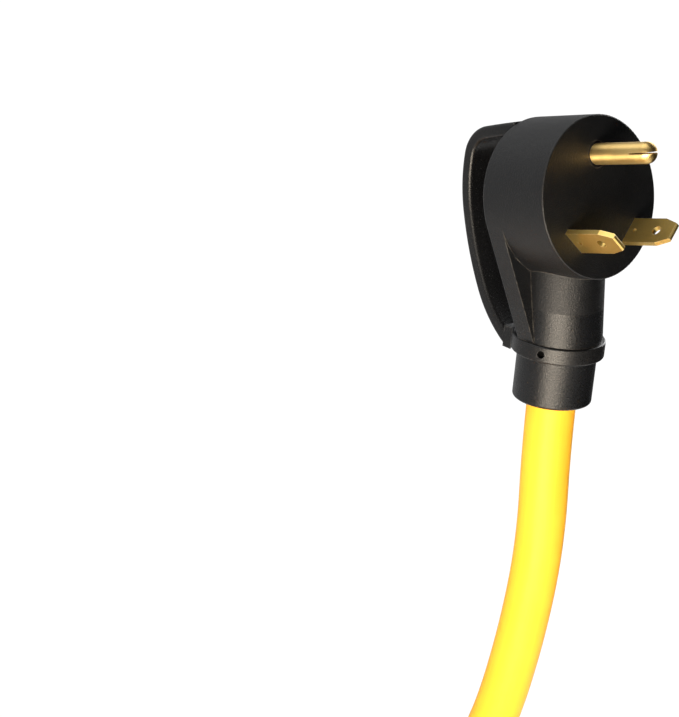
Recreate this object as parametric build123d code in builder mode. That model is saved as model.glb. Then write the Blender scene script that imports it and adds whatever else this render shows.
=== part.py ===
"""Shore power cord: right-angle plug with a finger-loop handle, three-core cord and locking connector.

Frame: millimetres, +Z up. The origin is the middle of the plug's face. The blades point along -Y, the
handle is behind the head on +Y, and the cord leaves downwards. The spare cord lies in a tied coil below
the plug.
"""

import math
import os

from build123d import *

os.makedirs("parts", exist_ok=True)

# ---- plug head and neck ----
HEAD_RADIUS = 25.4
HEAD_DEPTH = 25.8
BACK_PLATE_THICKNESS = 6.8
BACK_PLATE_FOOT_HALF = 13.2
BACK_PLATE_FOOT_HEIGHT = 4.0
FACE_WALL = 2.4
FACE_EDGE_FILLET = 0.5
BACK_EDGE_FILLET = 0.8
NECK_TILT = 14.3
NECK_ROOT_Y = 10.0
NECK_STEP = 1.1
NECK_TOP = -7.5
NECK_TOP_SHIFT = 3.0  # how far the neck's upper end is set back from the sleeve's axis
NECK_TOP_STEP = 0.1
SLEEVE_WALL = 4.8
SLEEVE_END = -66.7
SLEEVE_END_FILLET = 0.8
COLLAR_TOP = -45.5
COLLAR_HEIGHT = 5.3
COLLAR_WALL = 2.15
COLLAR_EDGE_FILLET = 0.5
COLLAR_PIN_DIAMETER = 2.4
COLLAR_PIN_ANGLES = (202.0, 338.0)
COLLAR_PIN_RECESS = 1.5
PIN_FOOT_DEPTH = 3.4

# ---- finger-loop handle ----
HANDLE_HALF_WIDTH = 9.0
HANDLE_THICKNESS = 4.2
HANDLE_EDGE_FILLET = 1.3
LUG_PROUD = 0.7
LUG_DEPTH = 5.0
LUG_DROP = 1.8
HANDLE_ROOT_DROP = 2.9
HANDLE_ROOT_DIRECTION = (1.0, -0.05)
HANDLE_SHOULDER = (13.6, -1.0)  # behind the head's back and above the handle's root
HANDLE_KNUCKLE = (22.0, -7.6)
HANDLE_BACK = (24.6, -25.4)
HANDLE_HEEL = (20.5, 22.3)  # behind the head's back and above the collar's bottom
HANDLE_FOOT = (6.2, 1.6)
TONGUE_HALF_WIDTH = 6.0
TONGUE_THICKNESS = 2.8
TONGUE_DEPTH = 5.6
TONGUE_DROP = 0.6
ANCHOR_PIN_DIAMETER = 2.0
ANCHOR_PIN_LENGTH = 17.0
RIVET_ANGLE = 90.0
RIVET_SHANK_DIAMETER = 2.6
RIVET_HEAD_DIAMETER = 5.0
RIVET_HEAD_HEIGHT = 0.9

# ---- contacts of the plug ----
GROUND_PIN_HEIGHT = 13.2
GROUND_PIN_DIAMETER = 6.7
GROUND_PIN_REACH = 22.5
GROUND_PIN_SHANK_STEP = 0.3
GROUND_PIN_SLIT = 0.5
GROUND_PIN_SLIT_LENGTH = 7.0
PIN_SEAT_RADIUS = 4.2
PIN_SEAT_DEPTH = 0.4
BLADE_OFFSET = 12.5
BLADE_DROP = 12.15
BLADE_WIDTH = 9.4
BLADE_THICKNESS = 1.65
BLADE_REACH = 18.0
BLADE_TIP_LENGTH = 5.0
BLADE_TIP_INSET = 1.8
BLADE_HOLE_DIAMETER = 3.1
BLADE_HOLE_AT = 11.3
BLADE_PEG_HOLE_DIAMETER = 1.3
BLADE_PEG_HOLE_AT = 2.6
CARRIER_RADIUS = 19.4
CARRIER_DEPTH = 10.6
CONTACT_TAIL = 2.2
GROUND_PIN_NOSE = 2.6
BLADE_TIP_BEVEL_SHARE = 0.25

# ---- cores and cord ----
CORD_DIAMETER = 16.0
CORE_DIAMETER = 3.0
INSULATION_DIAMETER = 4.8
CORE_CIRCLE = 3.9
BARREL_DIAMETER = 5.6
BARREL_LENGTH = 8.0
CHAMBER_DEPTH = 8.6
FERRULE_ROOM = 0.4
BORE_TOP = -14.0
BARREL_OFFSET = 7.2
CORE_BEND_HEIGHT = -15.5
CORE_LEAD = 5.0
CORE_BEND_RADIUS = 4.0
JACKET_START = -31.0
FREE_CORD_START = -45.0
FERRULE_WALL = 2.5
FERRULE_LENGTH = 6.0
FERRULE_TOP = -34.0
CABLE_GRIP_TOP = -42.0

# ---- coil of spare cord ----
FIRST_BEND = -80.0
TURN_GAP = 0.5
COIL_COLUMNS = 3
COIL_LAYERS = 4
COIL_MIDDLE_RADIUS = 96.5
LANDING_ANGLE = 25.0
LANDING_PAST_LAST_BEND = 14.0
LEAVING_ANGLE = -75.0
STRAP_THICKNESS = 2.0
STRAP_WIDTH = 20.0
STRAP_ANGLES = (118.0, 236.0)

# ---- connector on the far end ----
CONNECTOR_X = -4.0
CONNECTOR_BACK_Y = 105.0
FREE_CORD_BEFORE_RELIEF = 15.6
FREE_CORD_PAST_RELIEF_BACK = 18.4
RELIEF_LENGTH = 40.0
RELIEF_BACK_WALL = 2.4
RELIEF_FRONT_WALL = 6.4
RELIEF_GROOVES = 6
RELIEF_GROOVE_WIDTH = 2.0
RELIEF_GROOVE_DEPTH = 1.4
RELIEF_TONGUE = 4.0
RELIEF_STEP = 2.0
RELIEF_END_FILLET = 0.8
BODY_REAR_WALL = 5.2
BODY_RADIUS = 21.4
BODY_WALL = 3.4
BODY_LENGTH = 54.0
BODY_SHOULDER = 10.0
FLANGE_STEP = 1.6
FLANGE_LENGTH = 4.0
GRIP_FLUTES = 12
GRIP_FLUTE_DIAMETER = 4.0
GRIP_FLUTE_LENGTH = 30.0
NOSE_RADIUS = 16.0
NOSE_REACH = 16.0
NOSE_EDGE_FILLET = 1.0
CARRIER_SEAT = 20.0
CONTACT_END_GAP = 2.0
CONTACT_CIRCLE = 10.8
CONTACT_SLOT_WIDTH = 2.6
CONTACT_SPAN = 56.0
CONTACT_LEAF = 0.7
CONTACT_RECESS = 6.0
CONTACT_DEPTH = 20.0
CONNECTOR_CRIMP_LENGTH = 7.0
SEAL_THICKNESS = 2.0
SEAL_INSET = 0.5
SEAL_GROOVE = 0.5
RING_BORE_ROOM = 0.8
RING_WALL = 3.2
RING_REACH = 19.0
RING_LIP_LENGTH = 3.0
RING_EDGE_FILLET = 1.0
RING_PLAIN_EDGE = 2.6
RING_RIBS = 24
RING_RIB_NOTCH = 3.2
THREAD_TURNS = 4
THREAD_PITCH = 3.2
THREAD_DEPTH = 0.8
CONNECTOR_JACKET_PAST_RELIEF = 14.0

# ---- clearances ----
MOULD_FIT = 0.05
PIN_FIT = 0.05
CONTACT_FIT = 0.1
RUNNING_CLEARANCE = 0.4
LYING_CLEARANCE = 0.2

EXTRA = 1.0  # how far a cutting tool runs past the face it opens

cord_radius = CORD_DIAMETER / 2
turn_pitch = CORD_DIAMETER + TURN_GAP
sleeve_radius = cord_radius + SLEEVE_WALL
neck_radius = sleeve_radius + NECK_STEP
neck_bore_radius = cord_radius + FERRULE_WALL + FERRULE_ROOM
collar_radius = sleeve_radius + COLLAR_WALL
lug_reach = collar_radius + LUG_PROUD
pin_foot_radius = sleeve_radius - PIN_FOOT_DEPTH
ground_shank_radius = GROUND_PIN_DIAMETER / 2 - GROUND_PIN_SHANK_STEP
beyond_head = 4 * HEAD_RADIUS  # wide enough to cut across the whole head
collar_bottom = COLLAR_TOP - COLLAR_HEIGHT
collar_middle = COLLAR_TOP - COLLAR_HEIGHT / 2
tilt = math.radians(NECK_TILT)

neck_origin = (0, NECK_ROOT_Y, 0)
neck_up = (0, -math.sin(tilt), math.cos(tilt))
neck_plane = Plane(origin=neck_origin, x_dir=(1, 0, 0), z_dir=neck_up)
neck_axis = Axis(neck_origin, neck_up)


def neck_point(x, back, height):
    """A point given across, backwards and up along the tilted neck."""
    return Vector(*neck_plane.from_local_coords(Vector(x, back, height)))


def save(piece, label):
    """Names a finished piece and writes it to its own file."""
    piece.part.label = label
    export_step(piece.part, f"parts/{label}.step")


def rounded_route(points):
    """A route's straight runs joined by tangent arcs, with each arc as large as its two runs allow."""
    corners = [Vector(*point) for point in points]
    radii = []
    for before, corner, after in zip(corners, corners[1:], corners[2:]):
        run_in = corner - before
        run_out = after - corner
        turn = math.radians(run_in.get_angle(run_out))
        radii.append(0.45 * min(run_in.length, run_out.length) / math.tan(turn / 2))
    return corners, radii


# ---- plug body: one moulding of head, back plate, neck and sleeve ----
carrier_back = FACE_WALL + CARRIER_DEPTH
contact_back = carrier_back + CONTACT_TAIL
anchor_pin_y = HEAD_DEPTH - TONGUE_DEPTH / 2
blade_sides = {"neutral": -1, "hot": 1}


def blade_plane(side):
    """The plane of a blade's broad side, with x running outwards from the face."""
    middle = (side * BLADE_OFFSET, 0, -BLADE_DROP)
    return Plane(origin=middle, x_dir=(0, -1, 0), z_dir=(side, 0, -1))


def radial_plane(angle):
    """A plane through the neck's axis at the collar's middle, facing outwards at an angle about it."""
    turn = math.radians(angle)
    middle = neck_point(0, 0, collar_middle)
    outwards = neck_point(math.cos(turn), math.sin(turn), collar_middle) - middle
    return Plane(origin=middle, x_dir=neck_up, z_dir=outwards)


root_height = HEAD_RADIUS - HANDLE_ROOT_DROP
tongue_height = root_height - TONGUE_DROP
pin_planes = [radial_plane(angle) for angle in COLLAR_PIN_ANGLES]
rivet_plane = radial_plane(RIVET_ANGLE)
rivet_axis = Axis(rivet_plane.origin, rivet_plane.z_dir)
rivet_hole_radius = RIVET_SHANK_DIAMETER / 2 + PIN_FIT
radial_holes = [(rivet_plane, rivet_hole_radius)]
for plane in pin_planes:
    radial_holes.append((plane, COLLAR_PIN_DIAMETER / 2 + PIN_FIT))

with BuildPart() as plug_body:
    with BuildSketch(Plane.XZ):
        Circle(HEAD_RADIUS)
    extrude(amount=-HEAD_DEPTH)
    with BuildSketch(Plane.XZ.offset(-HEAD_DEPTH)):
        Circle(HEAD_RADIUS)
        with Locations((0, COLLAR_TOP)):
            Rectangle(2 * BACK_PLATE_FOOT_HALF, BACK_PLATE_FOOT_HEIGHT)
        make_hull()
    extrude(amount=BACK_PLATE_THICKNESS)
    with BuildSketch(neck_plane.offset(COLLAR_TOP)):
        Rectangle(beyond_head, beyond_head)
    extrude(amount=-HEAD_RADIUS, mode=Mode.SUBTRACT)
    back_face = plug_body.faces().sort_by(Axis.Y)[-1]
    fillet(back_face.edges().sort_by(Axis.Z)[1:], BACK_EDGE_FILLET)
    with BuildSketch(neck_plane.offset(COLLAR_TOP)):
        Circle(neck_radius)
    with BuildSketch(neck_plane.offset(NECK_TOP)):
        with Locations((0, NECK_TOP_SHIFT)):
            Circle(sleeve_radius + NECK_TOP_STEP)
    loft()
    with BuildSketch(neck_plane.offset(COLLAR_TOP)):
        Circle(sleeve_radius)
    extrude(amount=SLEEVE_END - COLLAR_TOP)
    with BuildSketch(Plane.XZ):
        Rectangle(beyond_head, beyond_head)
    extrude(amount=HEAD_DEPTH, mode=Mode.SUBTRACT)
    fillet(plug_body.faces().sort_by(Axis.Y)[0].edges(), FACE_EDGE_FILLET)
    fillet(plug_body.faces().sort_by(neck_axis)[0].edges(), SLEEVE_END_FILLET)
    # pocket of the carrier, chamber of the crimps, bore for the cores and bore for the jacket
    with BuildSketch(Plane.XZ.offset(-FACE_WALL)):
        Circle(CARRIER_RADIUS + MOULD_FIT)
    extrude(amount=-(CARRIER_DEPTH + CHAMBER_DEPTH), mode=Mode.SUBTRACT)
    with BuildSketch(neck_plane.offset(BORE_TOP)):
        Circle(neck_bore_radius)
    extrude(amount=CABLE_GRIP_TOP - BORE_TOP, mode=Mode.SUBTRACT)
    with BuildSketch(neck_plane.offset(BORE_TOP)):
        Circle(cord_radius + MOULD_FIT)
    extrude(amount=SLEEVE_END - BORE_TOP - EXTRA, mode=Mode.SUBTRACT)
    # seat and hole of the ground pin, and slots of the blades
    with BuildSketch(Plane.XZ):
        with Locations((0, GROUND_PIN_HEIGHT)):
            Circle(PIN_SEAT_RADIUS)
    extrude(amount=-PIN_SEAT_DEPTH, mode=Mode.SUBTRACT)
    with BuildSketch(Plane.XZ.offset(EXTRA)):
        with Locations((0, GROUND_PIN_HEIGHT)):
            Circle(ground_shank_radius + MOULD_FIT)
    extrude(amount=-(FACE_WALL + 2 * EXTRA), mode=Mode.SUBTRACT)
    for side in blade_sides.values():
        with BuildSketch(blade_plane(side)):
            Rectangle(2 * (FACE_WALL + EXTRA), BLADE_WIDTH + 2 * MOULD_FIT)
        extrude(amount=BLADE_THICKNESS / 2 + MOULD_FIT, both=True, mode=Mode.SUBTRACT)
    # slot and cross hole of the handle's tongue
    with BuildSketch(Plane.XZ.offset(-HEAD_DEPTH - EXTRA)):
        with Locations((0, tongue_height)):
            Rectangle(2 * (TONGUE_HALF_WIDTH + PIN_FIT), TONGUE_THICKNESS + 2 * PIN_FIT)
    extrude(amount=TONGUE_DEPTH + PIN_FIT + EXTRA, mode=Mode.SUBTRACT)
    with BuildSketch(Plane.YZ):
        with Locations((anchor_pin_y, tongue_height)):
            Circle(ANCHOR_PIN_DIAMETER / 2 + PIN_FIT)
    extrude(amount=ANCHOR_PIN_LENGTH / 2 + PIN_FIT, both=True, mode=Mode.SUBTRACT)
    # radial holes of the collar's pins and of the rivet
    for plane, hole_radius in radial_holes:
        with BuildSketch(plane.offset(pin_foot_radius)):
            Circle(hole_radius)
        extrude(amount=collar_radius, mode=Mode.SUBTRACT)
save(plug_body, "plug_body")

# ---- collar around the top of the sleeve, its two pins and the handle's rivet ----
with BuildPart() as handle_collar:
    with BuildSketch(neck_plane.offset(collar_bottom)):
        Circle(collar_radius)
        Circle(sleeve_radius + MOULD_FIT, mode=Mode.SUBTRACT)
    extrude(amount=COLLAR_HEIGHT)
    outer_wall = handle_collar.faces().filter_by(GeomType.CYLINDER).sort_by(SortBy.AREA)[-1]
    fillet(outer_wall.edges().filter_by(GeomType.CIRCLE), COLLAR_EDGE_FILLET)
    for plane, hole_radius in radial_holes:
        with BuildSketch(plane):
            Circle(hole_radius)
        extrude(amount=2 * collar_radius, mode=Mode.SUBTRACT)
save(handle_collar, "handle_collar")

with BuildPart() as collar_pins:
    for plane in pin_planes:
        with BuildSketch(plane.offset(pin_foot_radius)):
            Circle(COLLAR_PIN_DIAMETER / 2)
        extrude(amount=collar_radius - COLLAR_PIN_RECESS - pin_foot_radius)
save(collar_pins, "collar_pins")

with BuildPart() as handle_rivet:
    with BuildSketch(rivet_plane.offset(pin_foot_radius)):
        Circle(RIVET_SHANK_DIAMETER / 2)
    extrude(amount=lug_reach - pin_foot_radius)
    with BuildSketch(rivet_plane.offset(lug_reach)):
        Circle(RIVET_HEAD_DIAMETER / 2)
    extrude(amount=RIVET_HEAD_HEIGHT)
    fillet(handle_rivet.faces().sort_by(rivet_axis)[-1].edges(), RIVET_HEAD_HEIGHT / 2)
save(handle_rivet, "handle_rivet")

# ---- finger-loop handle: a flat bow from the back of the head to the lug on the collar ----
handle_root = (HEAD_DEPTH - EXTRA, root_height)
bow_points = []
for back, rise in (HANDLE_SHOULDER, HANDLE_KNUCKLE, HANDLE_BACK):
    bow_points.append((HEAD_DEPTH + back, root_height + rise))
for back, rise in (HANDLE_HEEL, HANDLE_FOOT):
    bow_points.append((HEAD_DEPTH + back, collar_bottom + rise))
with BuildPart() as grip_handle:
    with BuildSketch(Plane.YZ):
        with BuildLine():
            start, way = handle_root, HANDLE_ROOT_DIRECTION
            for end in bow_points:
                arc = TangentArc(start, end, tangent=way)
                start, way = end, arc % 1
        trace(line_width=HANDLE_THICKNESS)
    extrude(amount=HANDLE_HALF_WIDTH, both=True)
    with BuildSketch(Plane.XZ.offset(-HEAD_DEPTH)):
        Rectangle(beyond_head, beyond_head)
    extrude(amount=HEAD_DEPTH, mode=Mode.SUBTRACT)
    fillet(grip_handle.edges().group_by(Axis.X)[0], HANDLE_EDGE_FILLET)
    fillet(grip_handle.edges().group_by(Axis.X)[-1], HANDLE_EDGE_FILLET)
    with BuildSketch(neck_plane.offset(collar_bottom - LUG_DROP)):
        with Locations((0, (collar_radius + lug_reach) / 2 - LUG_DEPTH / 2)):
            Rectangle(2 * HANDLE_HALF_WIDTH, lug_reach - collar_radius + LUG_DEPTH)
    extrude(amount=COLLAR_HEIGHT + LUG_DROP)
    with BuildSketch(neck_plane.offset(SLEEVE_END)):
        Circle(collar_radius + MOULD_FIT)
    extrude(amount=NECK_TOP - SLEEVE_END, mode=Mode.SUBTRACT)
    with BuildSketch(neck_plane.offset(SLEEVE_END)):
        Rectangle(beyond_head, beyond_head)
    extrude(amount=collar_bottom - LUG_DROP - SLEEVE_END, mode=Mode.SUBTRACT)
    with BuildSketch(Plane.XZ.offset(-HEAD_DEPTH - EXTRA)):
        with Locations((0, tongue_height)):
            Rectangle(2 * TONGUE_HALF_WIDTH, TONGUE_THICKNESS)
    extrude(amount=TONGUE_DEPTH + EXTRA)
    with BuildSketch(Plane.YZ):
        with Locations((anchor_pin_y, tongue_height)):
            Circle(ANCHOR_PIN_DIAMETER / 2 + PIN_FIT)
    extrude(amount=HANDLE_HALF_WIDTH, both=True, mode=Mode.SUBTRACT)
    with BuildSketch(rivet_plane.offset(pin_foot_radius)):
        Circle(rivet_hole_radius)
    extrude(amount=lug_reach - pin_foot_radius, mode=Mode.SUBTRACT)
    with BuildSketch(rivet_plane.offset(lug_reach)):
        Circle(RIVET_HEAD_DIAMETER / 2 + PIN_FIT)
    extrude(amount=HEAD_RADIUS, mode=Mode.SUBTRACT)
save(grip_handle, "grip_handle")

with BuildPart() as handle_anchor_pin:
    with BuildSketch(Plane.YZ):
        with Locations((anchor_pin_y, tongue_height)):
            Circle(ANCHOR_PIN_DIAMETER / 2)
    extrude(amount=ANCHOR_PIN_LENGTH / 2, both=True)
save(handle_anchor_pin, "handle_anchor_pin")

# ---- contacts of the plug ----
with BuildPart() as ground_pin:
    with BuildSketch(Plane.XZ.offset(GROUND_PIN_REACH)):
        with Locations((0, GROUND_PIN_HEIGHT)):
            Circle(GROUND_PIN_DIAMETER / 2)
    extrude(amount=-GROUND_PIN_REACH)
    with BuildSketch(Plane.XZ):
        with Locations((0, GROUND_PIN_HEIGHT)):
            Circle(ground_shank_radius)
    extrude(amount=-contact_back)
    fillet(ground_pin.faces().sort_by(Axis.Y)[0].edges(), GROUND_PIN_NOSE)
    with BuildSketch(Plane.XY.offset(GROUND_PIN_HEIGHT)):
        with Locations((0, -GROUND_PIN_REACH + GROUND_PIN_SLIT_LENGTH / 2 - EXTRA)):
            Rectangle(GROUND_PIN_DIAMETER + EXTRA, GROUND_PIN_SLIT_LENGTH + 2 * EXTRA)
    extrude(amount=GROUND_PIN_SLIT / 2, both=True, mode=Mode.SUBTRACT)
save(ground_pin, "ground_pin")

for name, side in blade_sides.items():
    with BuildPart() as blade:
        with BuildSketch(blade_plane(side)):
            with BuildLine():
                Polyline(
                    (-contact_back, -BLADE_WIDTH / 2),
                    (BLADE_REACH - BLADE_TIP_LENGTH, -BLADE_WIDTH / 2),
                    (BLADE_REACH, BLADE_TIP_INSET - BLADE_WIDTH / 2),
                    (BLADE_REACH, BLADE_WIDTH / 2 - BLADE_TIP_INSET),
                    (BLADE_REACH - BLADE_TIP_LENGTH, BLADE_WIDTH / 2),
                    (-contact_back, BLADE_WIDTH / 2),
                    close=True,
                )
            make_face()
            with Locations((BLADE_HOLE_AT, 0)):
                Circle(BLADE_HOLE_DIAMETER / 2, mode=Mode.SUBTRACT)
            with Locations((BLADE_PEG_HOLE_AT, 0)):
                Circle(BLADE_PEG_HOLE_DIAMETER / 2, mode=Mode.SUBTRACT)
        extrude(amount=BLADE_THICKNESS / 2, both=True)
        tip_edges = blade.faces().sort_by(Axis.Y)[0].edges().sort_by(Edge.length)[-2:]
        chamfer(tip_edges, BLADE_THICKNESS * BLADE_TIP_BEVEL_SHARE)
    save(blade, f"{name}_blade")

with BuildPart() as blade_carrier:
    with BuildSketch(Plane.XZ.offset(-FACE_WALL)):
        Circle(CARRIER_RADIUS)
        with Locations((0, GROUND_PIN_HEIGHT)):
            Circle(ground_shank_radius + MOULD_FIT, mode=Mode.SUBTRACT)
    extrude(amount=-CARRIER_DEPTH)
    for side in blade_sides.values():
        with BuildSketch(blade_plane(side)):
            Rectangle(4 * HEAD_DEPTH, BLADE_WIDTH + 2 * MOULD_FIT)
        extrude(amount=BLADE_THICKNESS / 2 + MOULD_FIT, both=True, mode=Mode.SUBTRACT)
save(blade_carrier, "blade_carrier")

# ---- crimp barrels and cores inside the plug ----
barrel_middle_y = contact_back + BARREL_DIAMETER / 2
cores = {
    # name: barrel's place across, barrel's lower end, core's angle on the cord's core circle
    "ground": (0.0, GROUND_PIN_HEIGHT - BARREL_LENGTH / 2, 90.0),
    "neutral": (-BARREL_OFFSET, -BLADE_DROP, 210.0),
    "hot": (BARREL_OFFSET, -BLADE_DROP, 330.0),
}
for name, (across, lower_end, angle) in cores.items():
    barrel_foot = Vector(across, barrel_middle_y, lower_end)
    turn = math.radians(angle)
    jacket_core = neck_point(CORE_CIRCLE * math.cos(turn), CORE_CIRCLE * math.sin(turn), JACKET_START)
    bend = Vector(across, barrel_middle_y, CORE_BEND_HEIGHT)
    way = [barrel_foot, bend, jacket_core + Vector(*neck_up) * CORE_LEAD, jacket_core]
    with BuildPart() as barrel:
        with BuildSketch(Plane(origin=barrel_foot, x_dir=(1, 0, 0), z_dir=(0, 0, 1))):
            Circle(BARREL_DIAMETER / 2)
            Circle(CORE_DIAMETER / 2 + PIN_FIT, mode=Mode.SUBTRACT)
        extrude(amount=BARREL_LENGTH)
    save(barrel, f"plug_{name}_crimp")
    with BuildPart() as core:
        with BuildLine():
            barrel_top = barrel_foot + Vector(0, 0, BARREL_LENGTH)
            path = FilletPolyline(barrel_top, *way[1:], radius=CORE_BEND_RADIUS)
        with BuildSketch(Plane(origin=path @ 0, z_dir=path % 0)):
            Circle(CORE_DIAMETER / 2)
        sweep()
    save(core, f"plug_{name}_core")
    with BuildPart() as insulation:
        with BuildLine():
            path = FilletPolyline(*way, radius=CORE_BEND_RADIUS)
        with BuildSketch(Plane(origin=path @ 0, z_dir=path % 0)):
            Circle(INSULATION_DIAMETER / 2)
            Circle(CORE_DIAMETER / 2, mode=Mode.SUBTRACT)
        sweep()
    save(insulation, f"plug_{name}_insulation")

with BuildPart() as jacket_ferrule:
    with BuildSketch(neck_plane.offset(FERRULE_TOP)):
        Circle(cord_radius + FERRULE_WALL)
        Circle(cord_radius + MOULD_FIT, mode=Mode.SUBTRACT)
    extrude(amount=-FERRULE_LENGTH)
save(jacket_ferrule, "plug_jacket_ferrule")

with BuildPart() as jacket_end:
    with BuildSketch(neck_plane.offset(JACKET_START)):
        Circle(cord_radius)
    extrude(amount=FREE_CORD_START - JACKET_START)
save(jacket_end, "plug_jacket_end")

# ---- coil of spare cord: turns side by side and one above another ----
plug_route = [
    # from inside the neck, down and over to the top of the coil
    tuple(neck_point(0, 0, FREE_CORD_START)),
    tuple(neck_point(0, 0, FIRST_BEND)),
    (-0.8, 35.0, -114.0),
    (-3.5, 45.4, -149.0),
    (-8.0, 57.5, -181.0),
    (-14.8, 72.1, -203.9),
    (-23.7, 91.3, -222.2),
    (-34.3, 113.9, -234.8),
    (-45.8, 138.6, -241.3),
    (-57.6, 164.0, -241.3),
]
landing_turn = math.radians(LANDING_ANGLE)
outwards = (math.cos(landing_turn), math.sin(landing_turn))
onwards = (-math.sin(landing_turn), math.cos(landing_turn))
last_bend_x, last_bend_y, landing_height = plug_route[-2]
outer_turn_radius = COIL_MIDDLE_RADIUS + turn_pitch * (COIL_COLUMNS - 1) / 2
coil_x = last_bend_x + LANDING_PAST_LAST_BEND * onwards[0] - outer_turn_radius * outwards[0]
coil_y = last_bend_y + LANDING_PAST_LAST_BEND * onwards[1] - outer_turn_radius * outwards[1]
coil_width = CORD_DIAMETER + turn_pitch * (COIL_COLUMNS - 1)
coil_height = CORD_DIAMETER + turn_pitch * (COIL_LAYERS - 1)
coil_top = landing_height + cord_radius
coil_bottom = coil_top - coil_height
lowest_turn = coil_bottom + cord_radius
surface = coil_bottom - STRAP_THICKNESS - LYING_CLEARANCE
coil_axis = Axis((coil_x, coil_y, 0), (0, 0, 1))


def coil_section(angle):
    """The upright plane through the coil's axis at an angle, x outwards, y up, its origin mid-section."""
    turn = math.radians(angle)
    outward = Vector(math.cos(turn), math.sin(turn), 0)
    middle = Vector(coil_x, coil_y, (coil_top + coil_bottom) / 2) + outward * COIL_MIDDLE_RADIUS
    return Plane(origin=middle, x_dir=outward, z_dir=(math.sin(turn), -math.cos(turn), 0))


with BuildPart() as cord_coil:
    with BuildSketch(coil_section(0)):
        RectangleRounded(coil_width, coil_height, cord_radius)
    revolve(axis=coil_axis)
save(cord_coil, "cord_coil")

for number, angle in enumerate(STRAP_ANGLES, start=1):
    half_arc = math.degrees(STRAP_WIDTH / 2 / COIL_MIDDLE_RADIUS)
    inner_width = coil_width + 2 * LYING_CLEARANCE
    inner_height = coil_height + 2 * LYING_CLEARANCE
    with BuildPart() as strap:
        with BuildSketch(coil_section(angle - half_arc)):
            RectangleRounded(
                inner_width + 2 * STRAP_THICKNESS,
                inner_height + 2 * STRAP_THICKNESS,
                cord_radius + STRAP_THICKNESS,
            )
            RectangleRounded(inner_width, inner_height, cord_radius, mode=Mode.SUBTRACT)
        revolve(axis=coil_axis, revolution_arc=2 * half_arc)
    save(strap, f"coil_strap_{number}")

# ---- connector: everything is turned about its own axis, which lies along +Y ----
relief_back_radius = cord_radius + RELIEF_BACK_WALL
relief_front_radius = cord_radius + RELIEF_FRONT_WALL
relief_tongue_radius = relief_front_radius - RELIEF_STEP
body_rear_radius = relief_tongue_radius + BODY_REAR_WALL
flange_radius = BODY_RADIUS + FLANGE_STEP
ring_bore = flange_radius + RING_BORE_ROOM
ring_radius = ring_bore + RING_WALL
seat_radius = BODY_RADIUS - BODY_WALL
connector_height = surface + ring_radius + LYING_CLEARANCE
relief_front = CONNECTOR_BACK_Y + RELIEF_LENGTH
body_front = relief_front + BODY_LENGTH
flange_back = body_front - FLANGE_LENGTH
nose_front = body_front + NOSE_REACH
connector_axis = Axis((CONNECTOR_X, 0, connector_height), (0, 1, 0))
connector_profile = Plane(origin=(CONNECTOR_X, 0, connector_height), x_dir=(0, 0, 1), z_dir=(-1, 0, 0))


def across_connector(y):
    """The plane across the connector's axis at a distance along it, facing forwards."""
    return Plane(origin=(CONNECTOR_X, y, connector_height), x_dir=(1, 0, 0), z_dir=(0, 1, 0))


leaving_turn = math.radians(LEAVING_ANGLE)
connector_route = [
    # from the coil's lowest outer turn, round and up into the back of the connector
    (
        coil_x + outer_turn_radius * math.cos(leaving_turn),
        coil_y + outer_turn_radius * math.sin(leaving_turn),
        lowest_turn,
    ),
    (-68.9, 9.4, -290.8),
    (-35.3, 31.2, -286.5),
    (-15.0, 57.2, -279.0),
    (CONNECTOR_X, CONNECTOR_BACK_Y - FREE_CORD_BEFORE_RELIEF, connector_height),
    (CONNECTOR_X, CONNECTOR_BACK_Y + FREE_CORD_PAST_RELIEF_BACK, connector_height),
]

for label, points in (("cord_plug_run", plug_route), ("cord_connector_run", connector_route)):
    corners, radii = rounded_route(points)
    with BuildPart() as run:
        with BuildLine():
            path = FilletPolyline(*corners, radius=radii)
        with BuildSketch(Plane(origin=path @ 0, z_dir=path % 0)):
            Circle(cord_radius)
        sweep()
    save(run, label)
    print(label, "length", round(path.length, 1), "radii", [round(radius) for radius in radii])
    plain_volume = math.pi * cord_radius**2 * path.length
    print(label, "volume over section times length", run.part.volume / plain_volume)

relief_slope = (relief_front_radius - relief_back_radius) / RELIEF_LENGTH
groove_pitch = (RELIEF_LENGTH - 2 * RELIEF_GROOVE_WIDTH) / RELIEF_GROOVES
with BuildPart() as connector_strain_relief:
    with BuildSketch(connector_profile):
        with BuildLine():
            Polyline(
                (cord_radius + MOULD_FIT, CONNECTOR_BACK_Y),
                (relief_back_radius, CONNECTOR_BACK_Y),
                (relief_front_radius, relief_front),
                (relief_tongue_radius, relief_front),
                (relief_tongue_radius, relief_front + RELIEF_TONGUE),
                (cord_radius + MOULD_FIT, relief_front + RELIEF_TONGUE),
                close=True,
            )
        make_face()
        for number in range(RELIEF_GROOVES):
            middle = RELIEF_GROOVE_WIDTH + groove_pitch * (number + 0.5)
            with Locations((relief_back_radius + relief_slope * middle, CONNECTOR_BACK_Y + middle)):
                Rectangle(2 * RELIEF_GROOVE_DEPTH, RELIEF_GROOVE_WIDTH, mode=Mode.SUBTRACT)
    revolve(axis=connector_axis)
    fillet(connector_strain_relief.faces().sort_by(Axis.Y)[0].outer_wire().edges(), RELIEF_END_FILLET)
save(connector_strain_relief, "connector_strain_relief")

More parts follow.
